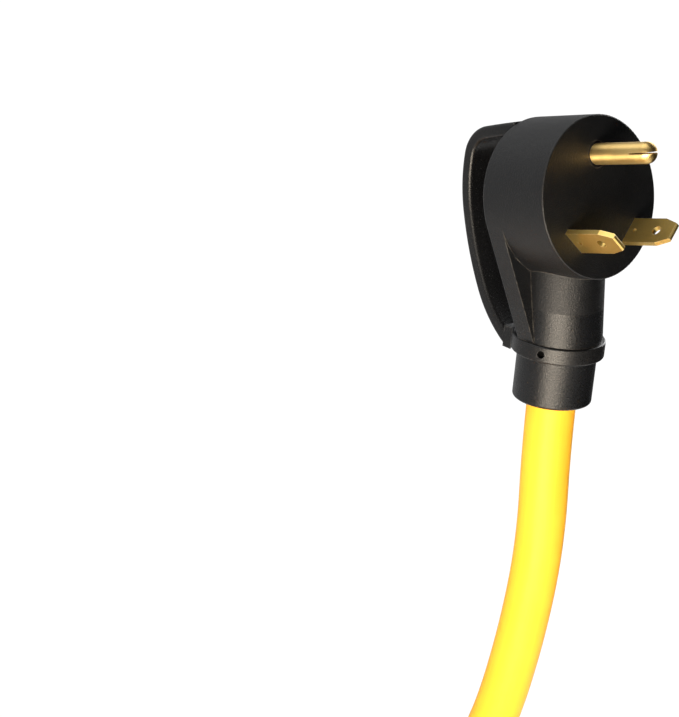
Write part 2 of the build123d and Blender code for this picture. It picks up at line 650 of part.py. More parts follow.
carrier_rear = body_front - CARRIER_SEAT
with BuildPart() as connector_body:
    with BuildSketch(connector_profile):
        with BuildLine():
            Polyline(
                (relief_tongue_radius + MOULD_FIT, relief_front),
                (body_rear_radius, relief_front),
                (BODY_RADIUS, relief_front + BODY_SHOULDER),
                (BODY_RADIUS, flange_back),
                (flange_radius, flange_back),
                (flange_radius, body_front),
                (seat_radius + MOULD_FIT, body_front),
                (seat_radius + MOULD_FIT, relief_front + RELIEF_TONGUE + RELIEF_STEP),
                (relief_tongue_radius + MOULD_FIT, relief_front + RELIEF_TONGUE),
                close=True,
            )
        make_face()
    revolve(axis=connector_axis)
    with BuildSketch(across_connector(relief_front + BODY_SHOULDER)):
        with PolarLocations(BODY_RADIUS + GRIP_FLUTE_DIAMETER / 4, GRIP_FLUTES):
            Circle(GRIP_FLUTE_DIAMETER / 2)
    extrude(amount=GRIP_FLUTE_LENGTH, mode=Mode.SUBTRACT)
save(connector_body, "connector_body")

contact_angles = {"ground": 90.0, "neutral": 210.0, "hot": 330.0}
slot_inner = CONTACT_CIRCLE - CONTACT_SLOT_WIDTH / 2
slot_outer = CONTACT_CIRCLE + CONTACT_SLOT_WIDTH / 2
leaf_inset = CONTACT_FIT + CONTACT_LEAF / 2
leaf_radii = (slot_inner + leaf_inset, slot_outer - leaf_inset)
contact_front = nose_front - CONTACT_RECESS
contact_rear = contact_front - CONTACT_DEPTH


def contact_section(angle):
    """The plane through the connector's axis at an angle about it, with x outwards and y forwards."""
    turn = math.radians(angle)
    outward = (math.cos(turn), 0, math.sin(turn))
    sideways = Vector(*outward).cross(Vector(0, 1, 0))
    return Plane(origin=(CONNECTOR_X, 0, connector_height), x_dir=outward, z_dir=sideways)


with BuildPart() as contact_carrier:
    with BuildSketch(across_connector(carrier_rear)):
        Circle(seat_radius)
    extrude(amount=CARRIER_SEAT)
    with BuildSketch(across_connector(body_front)):
        Circle(NOSE_RADIUS - SEAL_GROOVE)
    extrude(amount=SEAL_THICKNESS)
    with BuildSketch(across_connector(body_front + SEAL_THICKNESS)):
        Circle(NOSE_RADIUS)
    extrude(amount=NOSE_REACH - SEAL_THICKNESS)
    fillet(contact_carrier.faces().sort_by(Axis.Y)[-1].edges(), NOSE_EDGE_FILLET)
    for angle in contact_angles.values():
        slot_middle = (nose_front + contact_rear - CONTACT_FIT) / 2
        with BuildSketch(contact_section(angle - CONTACT_SPAN / 2 - CONTACT_END_GAP)):
            with Locations((CONTACT_CIRCLE, slot_middle + EXTRA / 2)):
                Rectangle(CONTACT_SLOT_WIDTH, nose_front - contact_rear + CONTACT_FIT + EXTRA)
        revolve(axis=connector_axis, revolution_arc=-CONTACT_SPAN - 2 * CONTACT_END_GAP, mode=Mode.SUBTRACT)
        with BuildSketch(across_connector(carrier_rear - EXTRA)):
            with PolarLocations(CONTACT_CIRCLE, 1, start_angle=-angle):
                Circle(BARREL_DIAMETER / 2 + MOULD_FIT)
        extrude(amount=contact_rear - carrier_rear + EXTRA, mode=Mode.SUBTRACT)
save(contact_carrier, "contact_carrier")

# ---- contacts, crimps, cores and jacket inside the connector ----
jacket_front = relief_front + CONNECTOR_JACKET_PAST_RELIEF
for name, angle in contact_angles.items():
    with BuildPart() as contact:
        with BuildSketch(contact_section(angle - CONTACT_SPAN / 2)):
            for leaf in leaf_radii:
                with Locations((leaf, (contact_front + contact_rear) / 2)):
                    Rectangle(CONTACT_LEAF, CONTACT_DEPTH)
            with Locations((CONTACT_CIRCLE, contact_rear + CONTACT_LEAF / 2)):
                Rectangle(CONTACT_SLOT_WIDTH - 2 * CONTACT_FIT, CONTACT_LEAF)
        revolve(axis=connector_axis, revolution_arc=-CONTACT_SPAN)
    save(contact, f"{name}_contact")

    turn = math.radians(angle)
    outward = Vector(math.cos(turn), 0, math.sin(turn))
    middle = Vector(CONNECTOR_X, 0, connector_height)
    crimp_rear = contact_rear - CONNECTOR_CRIMP_LENGTH
    crimp_foot = middle + outward * CONTACT_CIRCLE + Vector(0, crimp_rear, 0)
    crimp_face = Plane(origin=crimp_foot, x_dir=(1, 0, 0), z_dir=(0, 1, 0))
    way = [
        crimp_foot,
        crimp_foot - Vector(0, CORE_LEAD, 0),
        middle + outward * CORE_CIRCLE + Vector(0, jacket_front + CORE_LEAD, 0),
        middle + outward * CORE_CIRCLE + Vector(0, jacket_front, 0),
    ]
    with BuildPart() as crimp:
        with BuildSketch(crimp_face):
            Circle(BARREL_DIAMETER / 2)
            Circle(CORE_DIAMETER / 2 + PIN_FIT, mode=Mode.SUBTRACT)
        extrude(amount=CONNECTOR_CRIMP_LENGTH)
    save(crimp, f"connector_{name}_crimp")
    with BuildPart() as core:
        with BuildLine():
            core_front = crimp_foot + Vector(0, CONNECTOR_CRIMP_LENGTH, 0)
            path = FilletPolyline(core_front, *way[1:], radius=CORE_BEND_RADIUS)
        with BuildSketch(Plane(origin=path @ 0, z_dir=path % 0)):
            Circle(CORE_DIAMETER / 2)
        sweep()
    save(core, f"connector_{name}_core")
    with BuildPart() as insulation:
        with BuildLine():
            path = FilletPolyline(*way, radius=CORE_BEND_RADIUS)
        with BuildSketch(Plane(origin=path @ 0, z_dir=path % 0)):
            Circle(INSULATION_DIAMETER / 2)
            Circle(CORE_DIAMETER / 2, mode=Mode.SUBTRACT)
        sweep()
    save(insulation, f"connector_{name}_insulation")

with BuildPart() as jacket_end:
    with BuildSketch(across_connector(CONNECTOR_BACK_Y + FREE_CORD_PAST_RELIEF_BACK)):
        Circle(cord_radius)
    extrude(amount=jacket_front - CONNECTOR_BACK_Y - FREE_CORD_PAST_RELIEF_BACK)
save(jacket_end, "connector_jacket_end")

with BuildPart() as cord_clamp:
    with BuildSketch(across_connector(jacket_front - FERRULE_LENGTH)):
        Circle(cord_radius + FERRULE_WALL)
        Circle(cord_radius + MOULD_FIT, mode=Mode.SUBTRACT)
    extrude(amount=FERRULE_LENGTH)
save(cord_clamp, "connector_jacket_ferrule")

# ---- seal and locking ring in front of the connector ----
ring_back = flange_back - RUNNING_CLEARANCE - RING_LIP_LENGTH
ring_front = body_front + RING_REACH
with BuildPart() as connector_seal:
    with BuildSketch(across_connector(body_front)):
        Circle(flange_radius - SEAL_INSET)
        Circle(NOSE_RADIUS - SEAL_GROOVE + MOULD_FIT, mode=Mode.SUBTRACT)
    extrude(amount=SEAL_THICKNESS)
save(connector_seal, "connector_seal")

with BuildPart() as locking_ring:
    with BuildSketch(across_connector(ring_back)):
        Circle(ring_radius)
        Circle(BODY_RADIUS + RUNNING_CLEARANCE, mode=Mode.SUBTRACT)
    extrude(amount=RING_LIP_LENGTH)
    with BuildSketch(across_connector(ring_back + RING_LIP_LENGTH)):
        Circle(ring_radius)
        Circle(ring_bore, mode=Mode.SUBTRACT)
    extrude(amount=ring_front - ring_back - RING_LIP_LENGTH)
    outer_rims = [locking_ring.faces().sort_by(Axis.Y)[k].outer_wire().edges() for k in (0, -1)]
    fillet(outer_rims[0] + outer_rims[1], RING_EDGE_FILLET)
    with BuildSketch(connector_profile):
        for number in range(THREAD_TURNS):
            groove = ring_front - THREAD_PITCH * (number + 1)
            with Locations((ring_bore, groove)):
                Rectangle(2 * THREAD_DEPTH, THREAD_PITCH / 2)
    revolve(axis=connector_axis, mode=Mode.SUBTRACT)
    with BuildSketch(across_connector(ring_back + RING_PLAIN_EDGE)):
        with PolarLocations(ring_radius + RING_RIB_NOTCH / 4, RING_RIBS):
            Circle(RING_RIB_NOTCH / 2)
    extrude(amount=ring_front - ring_back - 2 * RING_PLAIN_EDGE, mode=Mode.SUBTRACT)
save(locking_ring, "locking_ring")

print("coil middle", round(coil_x, 1), round(coil_y, 1), "top", coil_top, "surface", surface)
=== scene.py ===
"""Looks of the shore power cord: right-angle plug, yellow cord in a tied coil, and locking connector.

Metres, +Z up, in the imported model's frame: the origin is the middle of the plug's face, and the blades
point along -Y.
"""

import math

import bpy
import numpy as np
from mathutils import Matrix, Vector


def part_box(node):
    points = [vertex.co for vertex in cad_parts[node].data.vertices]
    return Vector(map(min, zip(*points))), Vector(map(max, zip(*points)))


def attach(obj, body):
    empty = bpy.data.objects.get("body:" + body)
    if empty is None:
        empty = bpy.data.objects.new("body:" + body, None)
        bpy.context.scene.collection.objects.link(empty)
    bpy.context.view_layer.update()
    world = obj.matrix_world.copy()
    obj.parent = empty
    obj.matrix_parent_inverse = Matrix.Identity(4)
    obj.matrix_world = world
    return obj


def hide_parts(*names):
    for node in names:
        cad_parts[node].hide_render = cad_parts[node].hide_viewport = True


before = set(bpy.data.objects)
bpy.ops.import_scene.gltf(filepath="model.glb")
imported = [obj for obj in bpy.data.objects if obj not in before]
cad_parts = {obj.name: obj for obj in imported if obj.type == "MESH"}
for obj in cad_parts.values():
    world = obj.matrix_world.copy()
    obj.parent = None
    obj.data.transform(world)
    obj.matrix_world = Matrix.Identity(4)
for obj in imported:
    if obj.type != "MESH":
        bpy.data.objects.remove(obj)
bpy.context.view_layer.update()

PLUG_BODY_NAME = "cord_set"

# ---- the cord's own sizes, the same as the CAD model's ----
CORD_DIAMETER = 0.016
NECK_ROOT_Y = 0.010
NECK_TILT = math.radians(14.3)
FREE_CORD_START = -0.045
FIRST_BEND = -0.080
TURN_PITCH = 0.0165
COIL_COLUMNS = 3
COIL_LAYERS = 4
COIL_MIDDLE_RADIUS = 0.0965
LANDING_ANGLE = 25.0
LEAVING_ANGLE = 285.0
LAST_TURN = 11
CONNECTOR_X = -0.004
CONNECTOR_BACK_Y = 0.105
STRAP_ANGLES = (118.0, 236.0)
STRAP_WIDTH = 0.020
LYING_CLEARANCE = 0.0002


# ======================================================================
# Helpers
# ======================================================================


def neck_point(height):
    """A point on the neck's tilted axis: down the axis by -height from the axis's root behind the face."""
    return (0.0, NECK_ROOT_Y - math.sin(NECK_TILT) * height, math.cos(NECK_TILT) * height)


def smoothstep(t):
    """0 below 0, 1 above 1 and 3t^2 - 2t^3 between."""
    t = np.clip(t, 0.0, 1.0)
    return t * t * (3.0 - 2.0 * t)


def new_object(name, data, body):
    """Links an object at the origin and lets it ride on a CAD body."""
    made = bpy.data.objects.new(name, data)
    bpy.context.scene.collection.objects.link(made)
    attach(made, body)
    return made


def grid_mesh(name, points, closed_across=False, uv=None):
    """A mesh of quads on a grid of points of shape (rows, columns, 3). A grid that is closed across joins
    its last column to its first and gets a flat face at each end. uv has one value for each corner of the
    unrolled grid."""
    rows, columns = points.shape[:2]
    i, j = np.meshgrid(np.arange(rows - 1), np.arange(columns), indexing="ij")
    if not closed_across:
        i, j = i[:, :-1], j[:, :-1]
    this_row, next_row, next_column = i * columns, (i + 1) * columns, (j + 1) % columns
    quads = np.stack([this_row + j, this_row + next_column, next_row + next_column, next_row + j], -1)
    corners, starts = quads.reshape(-1), np.arange(0, quads.size, 4)
    smooth = np.ones(len(starts), bool)
    if closed_across:
        first_end = np.arange(columns)[::-1]
        last_end = np.arange(columns) + (rows - 1) * columns
        starts = np.concatenate([starts, [quads.size, quads.size + columns]])
        corners = np.concatenate([corners, first_end, last_end])
        smooth = np.concatenate([smooth, [False, False]])
    mesh = bpy.data.meshes.new(name)
    mesh.vertices.add(rows * columns)
    mesh.vertices.foreach_set("co", points.reshape(-1).astype(np.float32))
    mesh.loops.add(len(corners))
    mesh.loops.foreach_set("vertex_index", corners.astype(np.int32))
    mesh.polygons.add(len(starts))
    mesh.polygons.foreach_set("loop_start", starts.astype(np.int32))
    mesh.update(calc_edges=True)
    mesh.polygons.foreach_set("use_smooth", smooth)
    if uv is not None:
        unrolled = np.stack([uv[i, j], uv[i, j + 1], uv[i + 1, j + 1], uv[i + 1, j]], -2).reshape(-1)
        ends = np.zeros(2 * len(corners) - len(unrolled))
        layer = mesh.uv_layers.new(name="lay")
        layer.data.foreach_set("uv", np.concatenate([unrolled, ends]).astype(np.float32))
    return mesh


# ======================================================================
# Camera
# ======================================================================

CAMERA_AZIMUTH = math.radians(-39.4)
CAMERA_ELEVATION = math.radians(8.65)
CAMERA_ROLL = math.radians(-4.79)
CAMERA_DISTANCE = 0.5874
FACE_RIGHT_OF_MIDDLE = 0.0801
FACE_ABOVE_MIDDLE = 0.0496
LENS_MM = 96.0


def make_camera():
    """A camera that looks along the given azimuth and elevation, with the plug's face off its middle."""
    back = Vector((
        math.sin(CAMERA_AZIMUTH) * math.cos(CAMERA_ELEVATION),
        -math.cos(CAMERA_AZIMUTH) * math.cos(CAMERA_ELEVATION),
        math.sin(CAMERA_ELEVATION),
    ))
    level_right = Vector((math.cos(CAMERA_AZIMUTH), math.sin(CAMERA_AZIMUTH), 0.0))
    level_up = back.cross(level_right)
    right = math.cos(CAMERA_ROLL) * level_right + math.sin(CAMERA_ROLL) * level_up
    up = back.cross(right)
    place = back * CAMERA_DISTANCE - right * FACE_RIGHT_OF_MIDDLE - up * FACE_ABOVE_MIDDLE
    data = bpy.data.cameras.new("camera")
    data.lens = LENS_MM
    data.sensor_width = 36.0
    data.clip_start = 0.01
    camera = bpy.data.objects.new("camera", data)
    camera.matrix_world = Matrix.Translation(place) @ Matrix((right, up, back)).transposed().to_4x4()
    bpy.context.scene.collection.objects.link(camera)
    bpy.context.scene.camera = camera


# ======================================================================
# Shader helpers and shared node groups
# ======================================================================


def node(tree, kind, **values):
    """Adds a node and sets its properties, or its input sockets where the name is a socket's."""
    made = tree.nodes.new(kind)
    for name, value in values.items():
        if name in made.inputs:
            made.inputs[name].default_value = value
        else:
            setattr(made, name, value)
    return made


def group_tree(name, inputs, outputs):
    """A shader node group with named inputs and outputs; each input is (name, kind, value)."""
    tree = bpy.data.node_groups.new(name, "ShaderNodeTree")
    for label, kind, value in inputs:
        made = tree.interface.new_socket(name=label, in_out="INPUT", socket_type=kind)
        if value is not None:
            made.default_value = value
    for label, kind in outputs:
        tree.interface.new_socket(name=label, in_out="OUTPUT", socket_type=kind)
    return tree, tree.nodes.new("NodeGroupInput"), tree.nodes.new("NodeGroupOutput")


def math_node(tree, operation, first, second=None, third=None, clamp=False):
    """A Math node with values or sockets as its inputs; returns its output socket."""
    made = tree.nodes.new("ShaderNodeMath")
    made.operation = operation
    made.use_clamp = clamp
    for index, value in enumerate((first, second, third)):
        if value is None:
            continue
        if isinstance(value, (int, float)):
            made.inputs[index].default_value = value
        else:
            tree.links.new(value, made.inputs[index])
    return made.outputs[0]


def remap(tree, value, from_low, from_high, to_low, to_high):
    """A clamped Map Range node; returns its output socket."""
    made = node(tree, "ShaderNodeMapRange")
    for index, number in enumerate((from_low, from_high, to_low, to_high), start=1):
        made.inputs[index].default_value = number
    tree.links.new(value, made.inputs[0])
    return made.outputs[0]


def mixed_colour(tree, factor, first, second):
    """A colour mix whose colours are tuples or sockets; returns its output socket."""
    made = node(tree, "ShaderNodeMix", data_type="RGBA")
    tree.links.new(factor, made.inputs["Factor"])
    for label, value in (("A", first), ("B", second)):
        socket = next(s for s in made.inputs if s.name == label and s.type == "RGBA")
        if isinstance(value, tuple):
            socket.default_value = (*value, 1.0)
        else:
            tree.links.new(value, socket)
    return next(s for s in made.outputs if s.type == "RGBA")


GRAIN_MEAN_HEIGHT = 0.72  # taken off, so that a change of grain leaves no step


def make_grain_group():
    """Spark-eroded grain: rounded pits with finer noise in them. Size is a pit's width in metres."""
    tree, given, out = group_tree(
        "moulded_grain",
        [("Vector", "NodeSocketVector", None), ("Size", "NodeSocketFloat", 0.0004)],
        [("Height", "NodeSocketFloat"), ("Speckle", "NodeSocketFloat")],
    )
    scale = math_node(tree, "DIVIDE", 1.0, given.outputs["Size"])
    pits = node(tree, "ShaderNodeTexVoronoi", feature="SMOOTH_F1", Smoothness=0.6, Randomness=1.0)
    fine = node(tree, "ShaderNodeTexNoise", Detail=3.0, Roughness=0.65)
    tree.links.new(given.outputs["Vector"], pits.inputs["Vector"])
    tree.links.new(given.outputs["Vector"], fine.inputs["Vector"])
    tree.links.new(scale, pits.inputs["Scale"])
    tree.links.new(math_node(tree, "MULTIPLY", scale, 1.5), fine.inputs["Scale"])
    pit_height = remap(tree, pits.outputs["Distance"], 0.1, 0.75, 0.0, 1.0)
    both = math_node(tree, "ADD", math_node(tree, "MULTIPLY", pit_height, 0.45), fine.outputs["Fac"])
    centred = math_node(tree, "SUBTRACT", both, GRAIN_MEAN_HEIGHT)
    speckle = remap(tree, fine.outputs["Fac"], 0.45, 0.72, 0.0, 1.0)
    tree.links.new(centred, out.inputs["Height"])
    tree.links.new(speckle, out.inputs["Speckle"])
    return tree


def make_edge_group():
    """Pale edges, partly wear and partly painted highlight: how far a bevelled normal leaves the true one,
    broken up by noise. Width is in metres."""
    tree, given, out = group_tree(
        "edge_wear_and_painted_highlight",
        [("Vector", "NodeSocketVector", None), ("Width", "NodeSocketFloat", 0.0005)],
        [("Mask", "NodeSocketFloat")],
    )
    bevel = node(tree, "ShaderNodeBevel", samples=4)
    tree.links.new(given.outputs["Width"], bevel.inputs["Radius"])
    normal = node(tree, "ShaderNodeNewGeometry")
    agree = node(tree, "ShaderNodeVectorMath", operation="DOT_PRODUCT")
    tree.links.new(bevel.outputs["Normal"], agree.inputs[0])
    tree.links.new(normal.outputs["Normal"], agree.inputs[1])
    edge = remap(tree, agree.outputs["Value"], 0.98, 0.80, 0.0, 1.0)
    broken = node(tree, "ShaderNodeTexNoise", Scale=420.0, Detail=4.0, Roughness=0.6)
    tree.links.new(given.outputs["Vector"], broken.inputs["Vector"])
    patches = remap(tree, broken.outputs["Fac"], 0.40, 0.62, 0.15, 1.0)
    tree.links.new(math_node(tree, "MULTIPLY", edge, patches), out.inputs["Mask"])
    return tree


def make_handling_group():
    """Handling marks and dust: broad soft patches with fine specks in them."""
    tree, given, out = group_tree(
        "handling_marks",
        [("Vector", "NodeSocketVector", None)],
        [("Patches", "NodeSocketFloat"), ("Specks", "NodeSocketFloat")],
    )
    broad = node(tree, "ShaderNodeTexNoise", Scale=38.0, Detail=5.0, Roughness=0.6, Distortion=0.6)
    specks = node(tree, "ShaderNodeTexNoise", Scale=2400.0, Detail=2.0)
    tree.links.new(given.outputs["Vector"], broad.inputs["Vector"])
    tree.links.new(given.outputs["Vector"], specks.inputs["Vector"])
    tree.links.new(remap(tree, broad.outputs["Fac"], 0.35, 0.70, 0.0, 1.0), out.inputs["Patches"])
    tree.links.new(remap(tree, specks.outputs["Fac"], 0.66, 0.74, 0.0, 1.0), out.inputs["Specks"])
    return tree


GRAIN = make_grain_group()
# Edge mask for pale edges: partly wear, partly painted highlight.
EDGE_WEAR_AND_HIGHLIGHT = make_edge_group()
HANDLING = make_handling_group()


def start_material(name):
    """A new material; returns it with its node tree, its Principled BSDF and the object's coordinates."""
    material = bpy.data.materials.new(name)
    material.use_nodes = True
    tree = material.node_tree
    coordinates = node(tree, "ShaderNodeTexCoord")
    return material, tree, tree.nodes["Principled BSDF"], coordinates.outputs["Object"]


def place_group(tree, group, vector, **values):
    """Places a node group on a coordinate socket with its own values."""
    made = node(tree, "ShaderNodeGroup")
    made.node_tree = group
    for name, value in values.items():
        made.inputs[name].default_value = value
    tree.links.new(vector, made.inputs["Vector"])
    return made


def bump_into(tree, bsdf, height, strength, distance):
    """A Bump node between a height and the shader's normal."""
    bump = node(tree, "ShaderNodeBump", Strength=strength, Distance=distance)
    tree.links.new(height, bump.inputs["Height"])
    tree.links.new(bump.outputs["Normal"], bsdf.inputs["Normal"])


# ======================================================================
# Materials
# ======================================================================

NECK_UP = (0.0, -math.sin(NECK_TILT), math.cos(NECK_TILT))
GRAIN_LINE = -0.0345  # along the neck: coarse grain above, fine grain below


def moulded_plastic(name, colour, wear_and_highlight, rough, grain_size, grain_depth, two_grains=False):
    """Moulded black plastic: pitted grain, speckled gloss, soft handling patches, and paler edges that are
    partly wear and partly painted highlight.
    """
    material, tree, bsdf, vector = start_material(name)
    grain = place_group(tree, GRAIN, vector, Size=grain_size)
    marks = place_group(tree, HANDLING, vector)
    edge_wear_and_highlight = place_group(tree, EDGE_WEAR_AND_HIGHLIGHT, vector, Width=0.0005)
    base = mixed_colour(tree, marks.outputs["Patches"], colour, tuple(c * 1.5 for c in colour))
    speckled = mixed_colour(tree, grain.outputs["Speckle"], base, tuple(c * 0.06 for c in wear_and_highlight))
    dusty = mixed_colour(tree, math_node(tree, "MULTIPLY", marks.outputs["Specks"], 0.15), speckled, wear_and_highlight)
    # painted highlight: the edge mask pales the edges, partly as wear and partly as thin highlight lines
    # along the rims and inner corners.
    edge_wear_and_highlight_share = math_node(tree, "MULTIPLY", edge_wear_and_highlight.outputs["Mask"], 0.8)
    edged = mixed_colour(tree, edge_wear_and_highlight_share, dusty, tuple(c * 1.2 for c in wear_and_highlight))
    tree.links.new(edged, bsdf.inputs["Base Color"])
    patchy = remap(tree, marks.outputs["Patches"], 0.0, 1.0, rough - 0.03, rough + 0.05)
    gloss = math_node(tree, "ADD", patchy, math_node(tree, "MULTIPLY", grain.outputs["Speckle"], -0.20))
    height = grain.outputs["Height"]
    if two_grains:
        along = node(tree, "ShaderNodeVectorMath", operation="DOT_PRODUCT")
        tree.links.new(vector, along.inputs[0])
        along.inputs[1].default_value = NECK_UP
        shifted = math_node(tree, "ADD", along.outputs["Value"], math.sin(NECK_TILT) * NECK_ROOT_Y)
        coarse = remap(tree, shifted, GRAIN_LINE - 0.00015, GRAIN_LINE + 0.00015, 0.0, 1.0)
        height = math_node(tree, "MULTIPLY", height, remap(tree, coarse, 0.0, 1.0, 0.62, 1.0))
        gloss = math_node(tree, "ADD", gloss, remap(tree, coarse, 0.0, 1.0, -0.05, 0.04))
    tree.links.new(gloss, bsdf.inputs["Roughness"])
    bsdf.inputs["Specular IOR Level"].default_value = 0.32
    bump_into(tree, bsdf, height, 0.55, grain_depth)
    return material


def brass(name, stretch, clean, tarnished, relief, turned=False):
    """Brass with drawn lines along one direction, tarnish patches, and bright edges that are partly wear and
    partly painted highlight. stretch scales the coordinates, so that noise runs out into lines. A turned
    pin's highlight is drawn out along it."""
    material, tree, bsdf, vector = start_material(name)
    scaled = node(tree, "ShaderNodeMapping")
    scaled.inputs["Scale"].default_value = stretch
    tree.links.new(vector, scaled.inputs["Vector"])
    lines = node(tree, "ShaderNodeTexNoise", Scale=1.0, Detail=5.0, Roughness=0.7)
    tree.links.new(scaled.outputs["Vector"], lines.inputs["Vector"])
    tarnish = node(tree, "ShaderNodeTexNoise", Scale=160.0, Detail=6.0, Roughness=0.62, Distortion=0.8)
    tree.links.new(vector, tarnish.inputs["Vector"])
    edge_wear_and_highlight = place_group(tree, EDGE_WEAR_AND_HIGHLIGHT, vector, Width=0.0004)
    patch = remap(tree, tarnish.outputs["Fac"], 0.38, 0.68, 0.0, 1.0)
    base = mixed_colour(tree, patch, clean, tarnished)
    line_share = remap(tree, lines.outputs["Fac"], 0.3, 0.7, 0.0, 0.22)
    lined = mixed_colour(tree, line_share, base, (0.60, 0.42, 0.17))
    # painted highlight: the edge mask brightens the brass along its edges, partly as wear and partly as
    # highlight on the bevels.
    bright = mixed_colour(tree, edge_wear_and_highlight.outputs["Mask"], lined, (0.98, 0.80, 0.44))
    tree.links.new(bright, bsdf.inputs["Base Color"])
    bsdf.inputs["Metallic"].default_value = 1.0
    rough = math_node(tree, "ADD", remap(tree, patch, 0.0, 1.0, 0.38, 0.46),
                      remap(tree, lines.outputs["Fac"], 0.3, 0.7, -0.03, 0.05))
    tree.links.new(rough, bsdf.inputs["Roughness"])
    bump_into(tree, bsdf, lines.outputs["Fac"], relief, 0.00002)
    if turned:
        tangent = node(tree, "ShaderNodeTangent", direction_type="RADIAL", axis="Y")
        tree.links.new(tangent.outputs["Tangent"], bsdf.inputs["Tangent"])
        bsdf.inputs["Anisotropic"].default_value = 0.8
        bsdf.inputs["Anisotropic Rotation"].default_value = 0.25
    return material


def plain_metal(name, colour, rough):
    """Drawn or zinc-plated metal with a fine cloudy finish."""
    material, tree, bsdf, vector = start_material(name)
    cloud = node(tree, "ShaderNodeTexNoise", Scale=700.0, Detail=6.0, Roughness=0.7)
    tree.links.new(vector, cloud.inputs["Vector"])
    dull_share = remap(tree, cloud.outputs["Fac"], 0.3, 0.7, 0.0, 1.0)
    shade = mixed_colour(tree, dull_share, colour, tuple(c * 0.7 for c in colour))
    tree.links.new(shade, bsdf.inputs["Base Color"])
    bsdf.inputs["Metallic"].default_value = 1.0
    gloss = remap(tree, cloud.outputs["Fac"], 0.3, 0.7, rough - 0.06, rough + 0.08)
    tree.links.new(gloss, bsdf.inputs["Roughness"])
    bump_into(tree, bsdf, cloud.outputs["Fac"], 0.2, 0.00002)
    return material


YELLOW = (0.90, 0.465, 0.032)
YELLOW_STREAK = (0.88, 0.430, 0.025)
YELLOW_SCUFF = (0.91, 0.495, 0.050)
DARK_SPECK = (0.35, 0.22, 0.02)


def cord_jacket():
    """Extruded PVC jacket: semi-gloss warm yellow with faint drawn streaks, soft scuffs and a few dark
    specks. Reads the tube's own map, with metres along the cord and metres round it."""
    material, tree, bsdf, vector = start_material("yellow_jacket")
    lay = node(tree, "ShaderNodeUVMap", uv_map="lay")
    drawn = node(tree, "ShaderNodeMapping")
    drawn.inputs["Scale"].default_value = (45.0, 2600.0, 1.0)
    tree.links.new(lay.outputs["UV"], drawn.inputs["Vector"])
    streaks = node(tree, "ShaderNodeTexNoise", Scale=1.0, Detail=4.0, Roughness=0.6)
    tree.links.new(drawn.outputs["Vector"], streaks.inputs["Vector"])
    marks = place_group(tree, HANDLING, vector)
    peel = node(tree, "ShaderNodeTexNoise", Scale=1100.0, Detail=3.0, Roughness=0.6)
    tree.links.new(vector, peel.inputs["Vector"])
    streak_share = remap(tree, streaks.outputs["Fac"], 0.3, 0.7, 0.0, 1.0)
    scuff_share = math_node(tree, "MULTIPLY", marks.outputs["Patches"], 0.35)
    speck_share = math_node(tree, "MULTIPLY", marks.outputs["Specks"], 0.10)
    base = mixed_colour(tree, streak_share, YELLOW, YELLOW_STREAK)
    scuffed = mixed_colour(tree, scuff_share, base, YELLOW_SCUFF)
    specked = mixed_colour(tree, speck_share, scuffed, DARK_SPECK)
    tree.links.new(specked, bsdf.inputs["Base Color"])
    rough = math_node(tree, "ADD", remap(tree, marks.outputs["Patches"], 0.0, 1.0, 0.42, 0.52),
                      remap(tree, streaks.outputs["Fac"], 0.3, 0.7, -0.04, 0.04))
    tree.links.new(rough, bsdf.inputs["Roughness"])
    bsdf.inputs["Specular IOR Level"].default_value = 0.18
    bsdf.inputs["Subsurface Weight"].default_value = 0.12
    bsdf.inputs["Subsurface Radius"].default_value = (0.003, 0.0018, 0.0004)
    bsdf.inputs["Subsurface Scale"].default_value = 1.0
    streak_height = math_node(tree, "MULTIPLY", streaks.outputs["Fac"], 0.6)
    height = math_node(tree, "ADD", streak_height, peel.outputs["Fac"])
    bump_into(tree, bsdf, height, 0.25, 0.00006)
    return material


def soft_rubber():
    """Soft black rubber: matt, cloudy, with fine pits."""
    material, tree, bsdf, vector = start_material("soft_rubber")
    grain = place_group(tree, GRAIN, vector, Size=0.0003)
    marks = place_group(tree, HANDLING, vector)
    base = mixed_colour(tree, marks.outputs["Patches"], (0.016, 0.016, 0.017), (0.034, 0.033, 0.032))
    dust_share = math_node(tree, "MULTIPLY", marks.outputs["Specks"], 0.35)
    dusty = mixed_colour(tree, dust_share, base, (0.16, 0.15, 0.14))
    tree.links.new(dusty, bsdf.inputs["Base Color"])
    tree.links.new(remap(tree, marks.outputs["Patches"], 0.0, 1.0, 0.56, 0.70), bsdf.inputs["Roughness"])
    bump_into(tree, bsdf, grain.outputs["Height"], 0.5, 0.00005)
    return material


THREAD_PITCH = 0.0011


